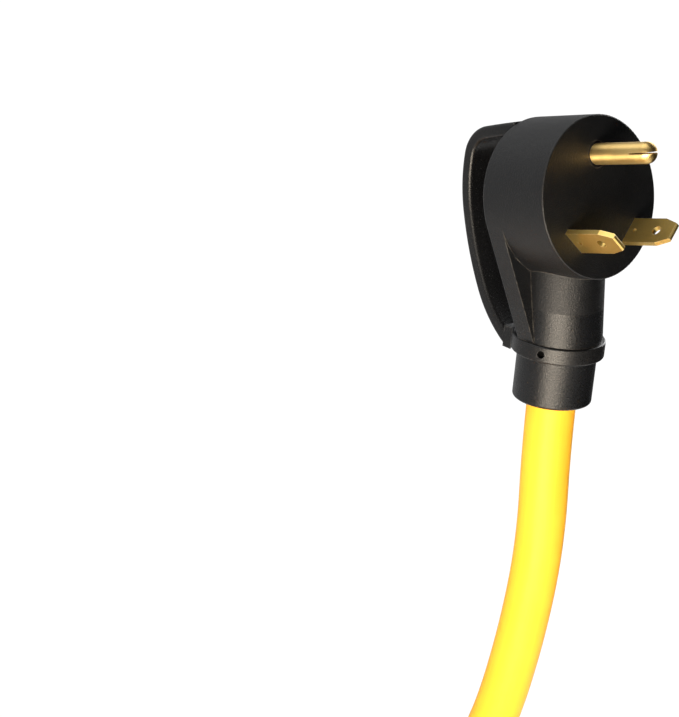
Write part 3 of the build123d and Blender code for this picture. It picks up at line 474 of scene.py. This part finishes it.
def webbing():
    """Woven polyester: over-and-under threads across and along the strap's own map, with fuzz and sheen; its
    colour is darkened in the weave's hollows as painted shade.
    """
    material, tree, bsdf, vector = start_material("strap_webbing")
    lay = node(tree, "ShaderNodeUVMap", uv_map="lay")
    halves = node(tree, "ShaderNodeSeparateXYZ")
    tree.links.new(lay.outputs["UV"], halves.inputs["Vector"])
    thread = 2.0 * math.pi / THREAD_PITCH
    along = math_node(tree, "SINE", math_node(tree, "MULTIPLY", halves.outputs["X"], thread))
    across = math_node(tree, "SINE", math_node(tree, "MULTIPLY", halves.outputs["Y"], thread * 1.6))
    weave = math_node(tree, "MULTIPLY", along, across)
    ribs = math_node(tree, "ADD", math_node(tree, "MULTIPLY", weave, 0.5), 0.5)
    fuzz = node(tree, "ShaderNodeTexNoise", Scale=1500.0, Detail=4.0, Roughness=0.7)
    tree.links.new(vector, fuzz.inputs["Vector"])
    # painted shade: the colour below is darker where the weave dips and lighter on the raised threads, with
    # the fuzz noise breaking it up at random.
    cover = math_node(tree, "MULTIPLY", ribs, fuzz.outputs["Fac"])
    weave_shade_share = remap(tree, cover, 0.1, 0.6, 0.0, 1.0)
    shade = mixed_colour(tree, weave_shade_share, (0.008, 0.008, 0.009), (0.045, 0.045, 0.048))
    tree.links.new(shade, bsdf.inputs["Base Color"])
    tree.links.new(remap(tree, fuzz.outputs["Fac"], 0.3, 0.7, 0.72, 0.92), bsdf.inputs["Roughness"])
    bsdf.inputs["Sheen Weight"].default_value = 0.35
    bsdf.inputs["Sheen Roughness"].default_value = 0.4
    height = math_node(tree, "ADD", ribs, math_node(tree, "MULTIPLY", fuzz.outputs["Fac"], 0.5))
    bump_into(tree, bsdf, height, 0.8, 0.00018)
    return material


def insulation(name, colour, streak):
    """Smooth extruded insulation with faint drawn streaks."""
    material, tree, bsdf, vector = start_material(name)
    cloud = node(tree, "ShaderNodeTexNoise", Scale=500.0, Detail=4.0, Roughness=0.6)
    tree.links.new(vector, cloud.inputs["Vector"])
    shade = mixed_colour(tree, remap(tree, cloud.outputs["Fac"], 0.35, 0.7, 0.0, 1.0), colour, streak)
    tree.links.new(shade, bsdf.inputs["Base Color"])
    tree.links.new(remap(tree, cloud.outputs["Fac"], 0.3, 0.7, 0.32, 0.46), bsdf.inputs["Roughness"])
    bump_into(tree, bsdf, cloud.outputs["Fac"], 0.2, 0.00003)
    return material


JACKET = cord_jacket()
BODY_PLASTIC = moulded_plastic(
    "plug_plastic",
    colour=(0.0024, 0.0030, 0.0042),
    wear_and_highlight=(0.13, 0.12, 0.105),
    rough=0.385,
    grain_size=0.0005,
    grain_depth=0.00022,
    two_grains=True,
)
HANDLE_PLASTIC = moulded_plastic(
    "handle_plastic",
    colour=(0.004, 0.0042, 0.0048),
    wear_and_highlight=(0.10, 0.10, 0.10),
    rough=0.34,
    grain_size=0.0005,
    grain_depth=0.00007,
)
CARRIER_PLASTIC = moulded_plastic(
    "carrier_plastic",
    colour=(0.030, 0.030, 0.034),
    wear_and_highlight=(0.14, 0.14, 0.14),
    rough=0.48,
    grain_size=0.00025,
    grain_depth=0.00002,
)
RUBBER = soft_rubber()
WEBBING = webbing()
PIN_BRASS = brass(
    "turned_brass",
    stretch=(1700.0, 130.0, 1700.0),
    clean=(0.88, 0.63, 0.24),
    tarnished=(0.78, 0.53, 0.19),
    relief=0.15,
    turned=True,
)
BLADE_BRASS = brass(
    "stamped_brass",
    stretch=(1500.0, 110.0, 1500.0),
    clean=(0.66, 0.48, 0.145),
    tarnished=(0.57, 0.40, 0.115),
    relief=0.08,
)
COPPER = plain_metal("stranded_copper", (0.78, 0.38, 0.20), 0.34)
STEEL = plain_metal("plated_steel", (0.34, 0.34, 0.36), 0.36)
# near-black colour: painted shade, so that the collar pins' holes read dark.
HOLE_SHADE_STEEL = plain_metal("steel_darkened_as_hole_shade", (0.004, 0.004, 0.004), 0.6)
GREEN = insulation("green_insulation", (0.02, 0.30, 0.07), (0.02, 0.22, 0.05))
WHITE = insulation("white_insulation", (0.78, 0.78, 0.75), (0.68, 0.68, 0.64))
BLACK = insulation("black_insulation", (0.015, 0.015, 0.016), (0.03, 0.03, 0.03))

NODE_MATERIALS = {
    "plug_body": BODY_PLASTIC,
    "grip_handle": HANDLE_PLASTIC,
    "handle_collar": HANDLE_PLASTIC,
    "collar_pins": HOLE_SHADE_STEEL,
    "handle_rivet": STEEL,
    "handle_anchor_pin": STEEL,
    "ground_pin": PIN_BRASS,
    "neutral_blade": BLADE_BRASS,
    "hot_blade": BLADE_BRASS,
    "blade_carrier": CARRIER_PLASTIC,
    "plug_jacket_ferrule": STEEL,
    "plug_jacket_end": JACKET,
    "connector_strain_relief": RUBBER,
    "connector_body": BODY_PLASTIC,
    "contact_carrier": CARRIER_PLASTIC,
    "ground_contact": BLADE_BRASS,
    "neutral_contact": BLADE_BRASS,
    "hot_contact": BLADE_BRASS,
    "connector_jacket_end": JACKET,
    "connector_jacket_ferrule": STEEL,
    "connector_seal": RUBBER,
    "locking_ring": HANDLE_PLASTIC,
}
for side in ("plug", "connector"):
    for core, covering in (("ground", GREEN), ("neutral", WHITE), ("hot", BLACK)):
        NODE_MATERIALS[f"{side}_{core}_crimp"] = BLADE_BRASS
        NODE_MATERIALS[f"{side}_{core}_core"] = COPPER
        NODE_MATERIALS[f"{side}_{core}_insulation"] = covering


def dress_cad_nodes():
    """Gives every carried-over CAD node its material."""
    for name, material in NODE_MATERIALS.items():
        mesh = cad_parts[name].data
        mesh.materials.clear()
        mesh.materials.append(material)


# ======================================================================
# Cord
# ======================================================================

coil_low, coil_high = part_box("cord_coil")
coil_middle = (coil_low + coil_high) / 2
top_turn = coil_high.z - CORD_DIAMETER / 2
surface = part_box("coil_strap_1")[0].z - LYING_CLEARANCE
connector_height = sum(corner.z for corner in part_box("locking_ring")) / 2

PLUG_ROUTE = [
    # from inside the neck, down and over to the top of the coil
    neck_point(FREE_CORD_START),
    neck_point(FIRST_BEND),
    (-0.0008, 0.0350, -0.1140),
    (-0.0035, 0.0454, -0.1490),
    (-0.0080, 0.0575, -0.1810),
    (-0.0148, 0.0721, -0.2039),
    (-0.0237, 0.0913, -0.2222),
    (-0.0343, 0.1139, -0.2348),
    (-0.0458, 0.1386, -0.2413),
]
CONNECTOR_ROUTE = [
    # from the coil's lowest outer turn, round and up into the back of the connector
    (-0.0689, 0.0094, -0.2908),
    (-0.0353, 0.0312, -0.2865),
    (-0.0150, 0.0572, -0.2790),
    (CONNECTOR_X, CONNECTOR_BACK_Y - 0.0156, connector_height),
    (CONNECTOR_X, CONNECTOR_BACK_Y + 0.0184, connector_height),
]
POINTS_PER_TURN = 16
HALF_STEP = 180.0 / POINTS_PER_TURN
JOG_START = 300.0  # degrees into a turn, where the cord starts to move over to the next place
JOG_BULGE = 0.0075


def coil_points():
    """Control points of the coil: a circle whose radius and height change by one pitch in the last sixth of
    a turn, from column to column in a layer, and from layer to layer at its end, where the cord bulges
    aside."""
    columns, layers = [], []
    for layer in range(COIL_LAYERS):
        order = range(COIL_COLUMNS) if layer % 2 else reversed(range(COIL_COLUMNS))
        for column in order:
            columns.append(column)
            layers.append(layer)
    columns.append(columns[-1])
    layers.append(layers[-1])
    radii = COIL_MIDDLE_RADIUS + TURN_PITCH * (np.array(columns) - (COIL_COLUMNS - 1) / 2)
    heights = top_turn - TURN_PITCH * np.array(layers)

    first = LANDING_ANGLE + HALF_STEP
    last = LEAVING_ANGLE + 360.0 * LAST_TURN - HALF_STEP
    count = round((last - first) / (2 * HALF_STEP)) + 1
    angles = np.linspace(first, last, count)
    turn, phase = np.divmod(angles - LANDING_ANGLE, 360.0)
    turn = turn.astype(int)
    share = smoothstep((phase - JOG_START) / (360.0 - JOG_START))
    radius = radii[turn] * (1 - share) + radii[turn + 1] * share
    height = heights[turn] * (1 - share) + heights[turn + 1] * share
    sinks = heights[turn] != heights[turn + 1]
    outwards = np.sign(radii[turn] - COIL_MIDDLE_RADIUS)
    radius = radius + np.where(sinks, outwards * JOG_BULGE * np.sin(math.pi * share), 0.0)
    radius = radius / math.cos(math.radians(HALF_STEP))
    around = np.radians(angles)
    across = coil_middle.x + radius * np.cos(around)
    along = coil_middle.y + radius * np.sin(around)
    return np.stack([across, along, height], -1)


def route_line():
    """The cord's centreline, read from a NURBS spline with the route's points as its control points."""
    control = [*PLUG_ROUTE, *coil_points().tolist(), *CONNECTOR_ROUTE]
    curve = bpy.data.curves.new("cord_route", "CURVE")
    curve.dimensions = "3D"
    spline = curve.splines.new("NURBS")
    spline.points.add(len(control) - 1)
    spline.points.foreach_set("co", np.array([(*point, 1.0) for point in control], np.float32).reshape(-1))
    spline.order_u = 3
    spline.use_endpoint_u = True
    spline.resolution_u = 8
    carrier = bpy.data.objects.new("cord_route", curve)
    line = bpy.data.meshes.new_from_object(carrier)
    points = np.empty(len(line.vertices) * 3, np.float32)
    line.vertices.foreach_get("co", points)
    bpy.data.objects.remove(carrier)
    bpy.data.curves.remove(curve)
    bpy.data.meshes.remove(line)
    return points.reshape(-1, 3).astype(float)


CORD_SIDES = 40


def make_cord():
    """A round tube carried along the route: centre + r (cos a side + sin a over). side is square to the line
    and to an axis that turns from X on the hanging stretch to Z in the coil, and over is square to both."""
    line = route_line()
    step = np.gradient(line, axis=0)
    tangent = step / np.linalg.norm(step, axis=1, keepdims=True)
    steep = np.abs(tangent[:, 2:3])
    guide = steep * np.array([1.0, 0.0, 0.0]) + (1 - steep) * np.array([0.0, 0.0, 1.0])
    side = np.cross(guide, tangent)
    side /= np.linalg.norm(side, axis=1, keepdims=True)
    over = np.cross(tangent, side)
    travelled = np.concatenate([[0.0], np.cumsum(np.linalg.norm(np.diff(line, axis=0), axis=1))])
    around = np.linspace(0, 2 * math.pi, CORD_SIDES, endpoint=False)
    cosine, sine = np.cos(around)[None, :, None], np.sin(around)[None, :, None]
    radius = CORD_DIAMETER / 2
    tube = line[:, None, :] + radius * (cosine * side[:, None, :] + sine * over[:, None, :])
    map_v = np.linspace(0, 2 * math.pi * radius, CORD_SIDES + 1)
    uv = np.stack(np.meshgrid(travelled, map_v, indexing="ij"), -1)
    mesh = grid_mesh("cord", tube, closed_across=True, uv=uv)
    mesh.materials.append(JACKET)
    cord = new_object("cord", mesh, PLUG_BODY_NAME)
    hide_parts("cord_plug_run", "cord_coil", "cord_connector_run")
    return cord, line


# ======================================================================
# Straps round the coil
# ======================================================================

STRAP_LAP_HEIGHT = 0.00162
STRAP_WALL = 0.00144
STRAP_OVERLAP = 0.055
STRAP_BOW = 0.0003
STRAP_GAP = 0.0001
STRAP_LAP_RISE = 0.012  # the length over which the lap climbs onto the strap's start
STRAP_START_SHARE = 0.12  # of the height, up from the middle of the outer side
STRAP_END_RADIUS = 0.007
STRAP_EDGE_BEVEL = 0.0003
STRAP_ROWS = 360
STRAP_COLUMNS = 25


def strap_outline(distance, inner_width, inner_height, corner):
    """Points (out, up) and unit normals at distances along a rectangle with round corners, and its whole
    length. It starts in the middle of the outer side and goes up. A corner's centre moves along the straight
    sides and waits while the normal turns through a quarter circle."""
    half_w, half_h = inner_width / 2 - corner, inner_height / 2 - corner
    quarter = corner * math.pi / 2
    sides = [half_h, 2 * half_w, 2 * half_h, 2 * half_w, half_h]
    pieces = [length for side in sides for length in (side, quarter)][:-1]
    ends = np.concatenate([[0.0], np.cumsum(pieces)])
    gone = np.mod(distance, ends[-1])
    piece = np.searchsorted(ends, gone, side="right") - 1
    turned = np.where(piece % 2, (gone - ends[piece]) / corner, 0.0)
    turn = (piece // 2) * math.pi / 2 + turned
    centre_out = half_w * np.interp(gone, ends, [1, 1, 1, -1, -1, -1, -1, 1, 1, 1])
    centre_up = half_h * np.interp(gone, ends, [0, 1, 1, 1, 1, -1, -1, -1, -1, 0])
    normal = np.stack([np.cos(turn), np.sin(turn)], -1)
    return np.stack([centre_out, centre_up], -1) + corner * normal, normal, ends[-1]


def make_strap(number, angle):
    """A hook-and-loop strap: the outline of the coil's section, gone round once and lapped over itself,
    carried a strap's width along the coil. Its lap stands on its start, and its free end is rounded."""
    inner_width = CORD_DIAMETER + TURN_PITCH * (COIL_COLUMNS - 1) + 2 * LYING_CLEARANCE
    inner_height = coil_high.z - coil_low.z + 2 * LYING_CLEARANCE
    corner = CORD_DIAMETER / 2
    around = strap_outline(np.zeros(1), inner_width, inner_height, corner)[2]
    start = inner_height * STRAP_START_SHARE
    distance = np.linspace(start, start + around + STRAP_OVERLAP, STRAP_ROWS)
    outline, normal, _ = strap_outline(distance, inner_width, inner_height, corner)
    gone = distance - start
    lift = STRAP_LAP_HEIGHT * smoothstep((gone - around + STRAP_LAP_RISE) / STRAP_LAP_RISE)
    end_share = np.clip((distance[-1] - distance) / STRAP_END_RADIUS, 0.0, 1.0)
    half = STRAP_WIDTH / 2 - STRAP_END_RADIUS * (1 - np.sqrt(1 - (1 - end_share) ** 2))
    across_share = np.linspace(-1, 1, STRAP_COLUMNS)
    across = half[:, None] * across_share[None, :]
    bow = STRAP_BOW * (1 - across_share**2)[None, :]
    stand = (lift[:, None] + bow)[..., None]
    flat = outline[:, None, :] + normal[:, None, :] * (stand + STRAP_GAP)
    turn = math.radians(angle) + across / COIL_MIDDLE_RADIUS
    out = COIL_MIDDLE_RADIUS + flat[..., 0]
    points = np.stack([
        coil_middle.x + out * np.cos(turn),
        coil_middle.y + out * np.sin(turn),
        coil_middle.z + flat[..., 1],
    ], -1)
    uv = np.stack([np.broadcast_to(distance[:, None], across.shape), across], -1)
    mesh = grid_mesh(f"tie_strap_{number}", points, uv=uv)
    mesh.materials.append(WEBBING)
    strap = new_object(f"tie_strap_{number}", mesh, PLUG_BODY_NAME)
    wall = strap.modifiers.new("wall", "SOLIDIFY")
    wall.thickness = STRAP_WALL
    wall.offset = 1.0
    edge = strap.modifiers.new("edge", "BEVEL")
    edge.width = STRAP_EDGE_BEVEL
    edge.segments = 2
    edge.limit_method = "ANGLE"
    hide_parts(f"coil_strap_{number}")
    return strap


# ======================================================================
# Floor and light
# ======================================================================


FLOOR_RADIUS = 0.44
FLOOR_THICKNESS = 0.004
FLOOR_SIDES = 96


def make_floor():
    """A plain, pale floor disc under the coil: a circle carried up by the disc's thickness."""
    rim = np.linspace(0, 2 * math.pi, FLOOR_SIDES, endpoint=False)
    height, rim = np.meshgrid([surface - FLOOR_THICKNESS, surface], rim, indexing="ij")
    across, along = coil_middle.x + FLOOR_RADIUS * np.cos(rim), coil_middle.y + FLOOR_RADIUS * np.sin(rim)
    points = np.stack([across, along, height], -1)
    mesh = grid_mesh("floor", points, closed_across=True)
    material, tree, bsdf, vector = start_material("pale_floor")
    cloud = node(tree, "ShaderNodeTexNoise", Scale=3.0, Detail=4.0)
    tree.links.new(vector, cloud.inputs["Vector"])
    shade = mixed_colour(tree, cloud.outputs["Fac"], (0.90, 0.90, 0.90), (0.93, 0.93, 0.93))
    tree.links.new(shade, bsdf.inputs["Base Color"])
    bsdf.inputs["Roughness"].default_value = 0.85
    bsdf.inputs["Emission Color"].default_value = (1.0, 1.0, 1.0, 1.0)
    bsdf.inputs["Emission Strength"].default_value = 0.32
    mesh.materials.append(material)
    floor = bpy.data.objects.new("floor", mesh)
    bpy.context.scene.collection.objects.link(floor)


BRIGHT_SIDE = Vector((-0.55, 0.80, 0.30)).normalized()


def make_world():
    """A soft white room, brighter behind and to the left, darker in front to the right. The camera sees it
    plain white."""
    world = bpy.data.worlds.new("studio")
    world.use_nodes = True
    tree = world.node_tree
    background = tree.nodes["Background"]
    coordinates = node(tree, "ShaderNodeTexCoord")
    towards = node(tree, "ShaderNodeVectorMath", operation="DOT_PRODUCT")
    tree.links.new(coordinates.outputs["Generated"], towards.inputs[0])
    towards.inputs[1].default_value = BRIGHT_SIDE
    glow = remap(tree, towards.outputs["Value"], -0.45, 0.75, 0.03, 0.60)
    seen = node(tree, "ShaderNodeLightPath").outputs["Is Camera Ray"]
    strength = math_node(tree, "MAXIMUM", glow, math_node(tree, "MULTIPLY", seen, 1.05))
    tree.links.new(strength, background.inputs["Strength"])
    background.inputs["Color"].default_value = (1.0, 1.0, 1.0, 1.0)
    bpy.context.scene.world = world


def soft_box(name, towards, distance, size, power, colour=(1.0, 1.0, 1.0)):
    """A square area light that looks at the plug from a direction given in azimuth and elevation degrees."""
    azimuth, elevation = (math.radians(angle) for angle in towards)
    direction = Vector((
        math.sin(azimuth) * math.cos(elevation),
        -math.cos(azimuth) * math.cos(elevation),
        math.sin(elevation),
    ))
    data = bpy.data.lights.new(name, "AREA")
    data.shape = "RECTANGLE"
    data.size, data.size_y = size
    data.energy = power
    data.color = colour
    lamp = bpy.data.objects.new(name, data)
    lamp.location = direction * distance + Vector((0.0, 0.0, -0.05))
    lamp.rotation_mode = "QUATERNION"
    lamp.rotation_quaternion = direction.to_track_quat("Z", "Y")
    lamp.visible_camera = False
    bpy.context.scene.collection.objects.link(lamp)


def make_lights():
    """A broad warm key from the front left, a top light and a rim light from behind on the right."""
    soft_box("key", (-52.0, 8.0), 1.2, (0.75, 0.7), 2.5, (1.0, 0.94, 0.86))
    soft_box("low_key", (-53.0, -19.0), 0.52, (0.50, 0.17), 6.3, (1.0, 0.87, 0.70))
    soft_box("top", (-100.0, 75.0), 1.2, (1.0, 1.0), 7.0)
    soft_box("rim", (105.0, 20.0), 1.4, (0.7, 1.2), 11.0)


# ======================================================================
# Putting it together
# ======================================================================

make_camera()
cord, cord_line = make_cord()
straps = [make_strap(number, angle) for number, angle in enumerate(STRAP_ANGLES, start=1)]
dress_cad_nodes()
make_floor()
make_world()
make_lights()
bpy.context.scene.view_settings.view_transform = "Standard"
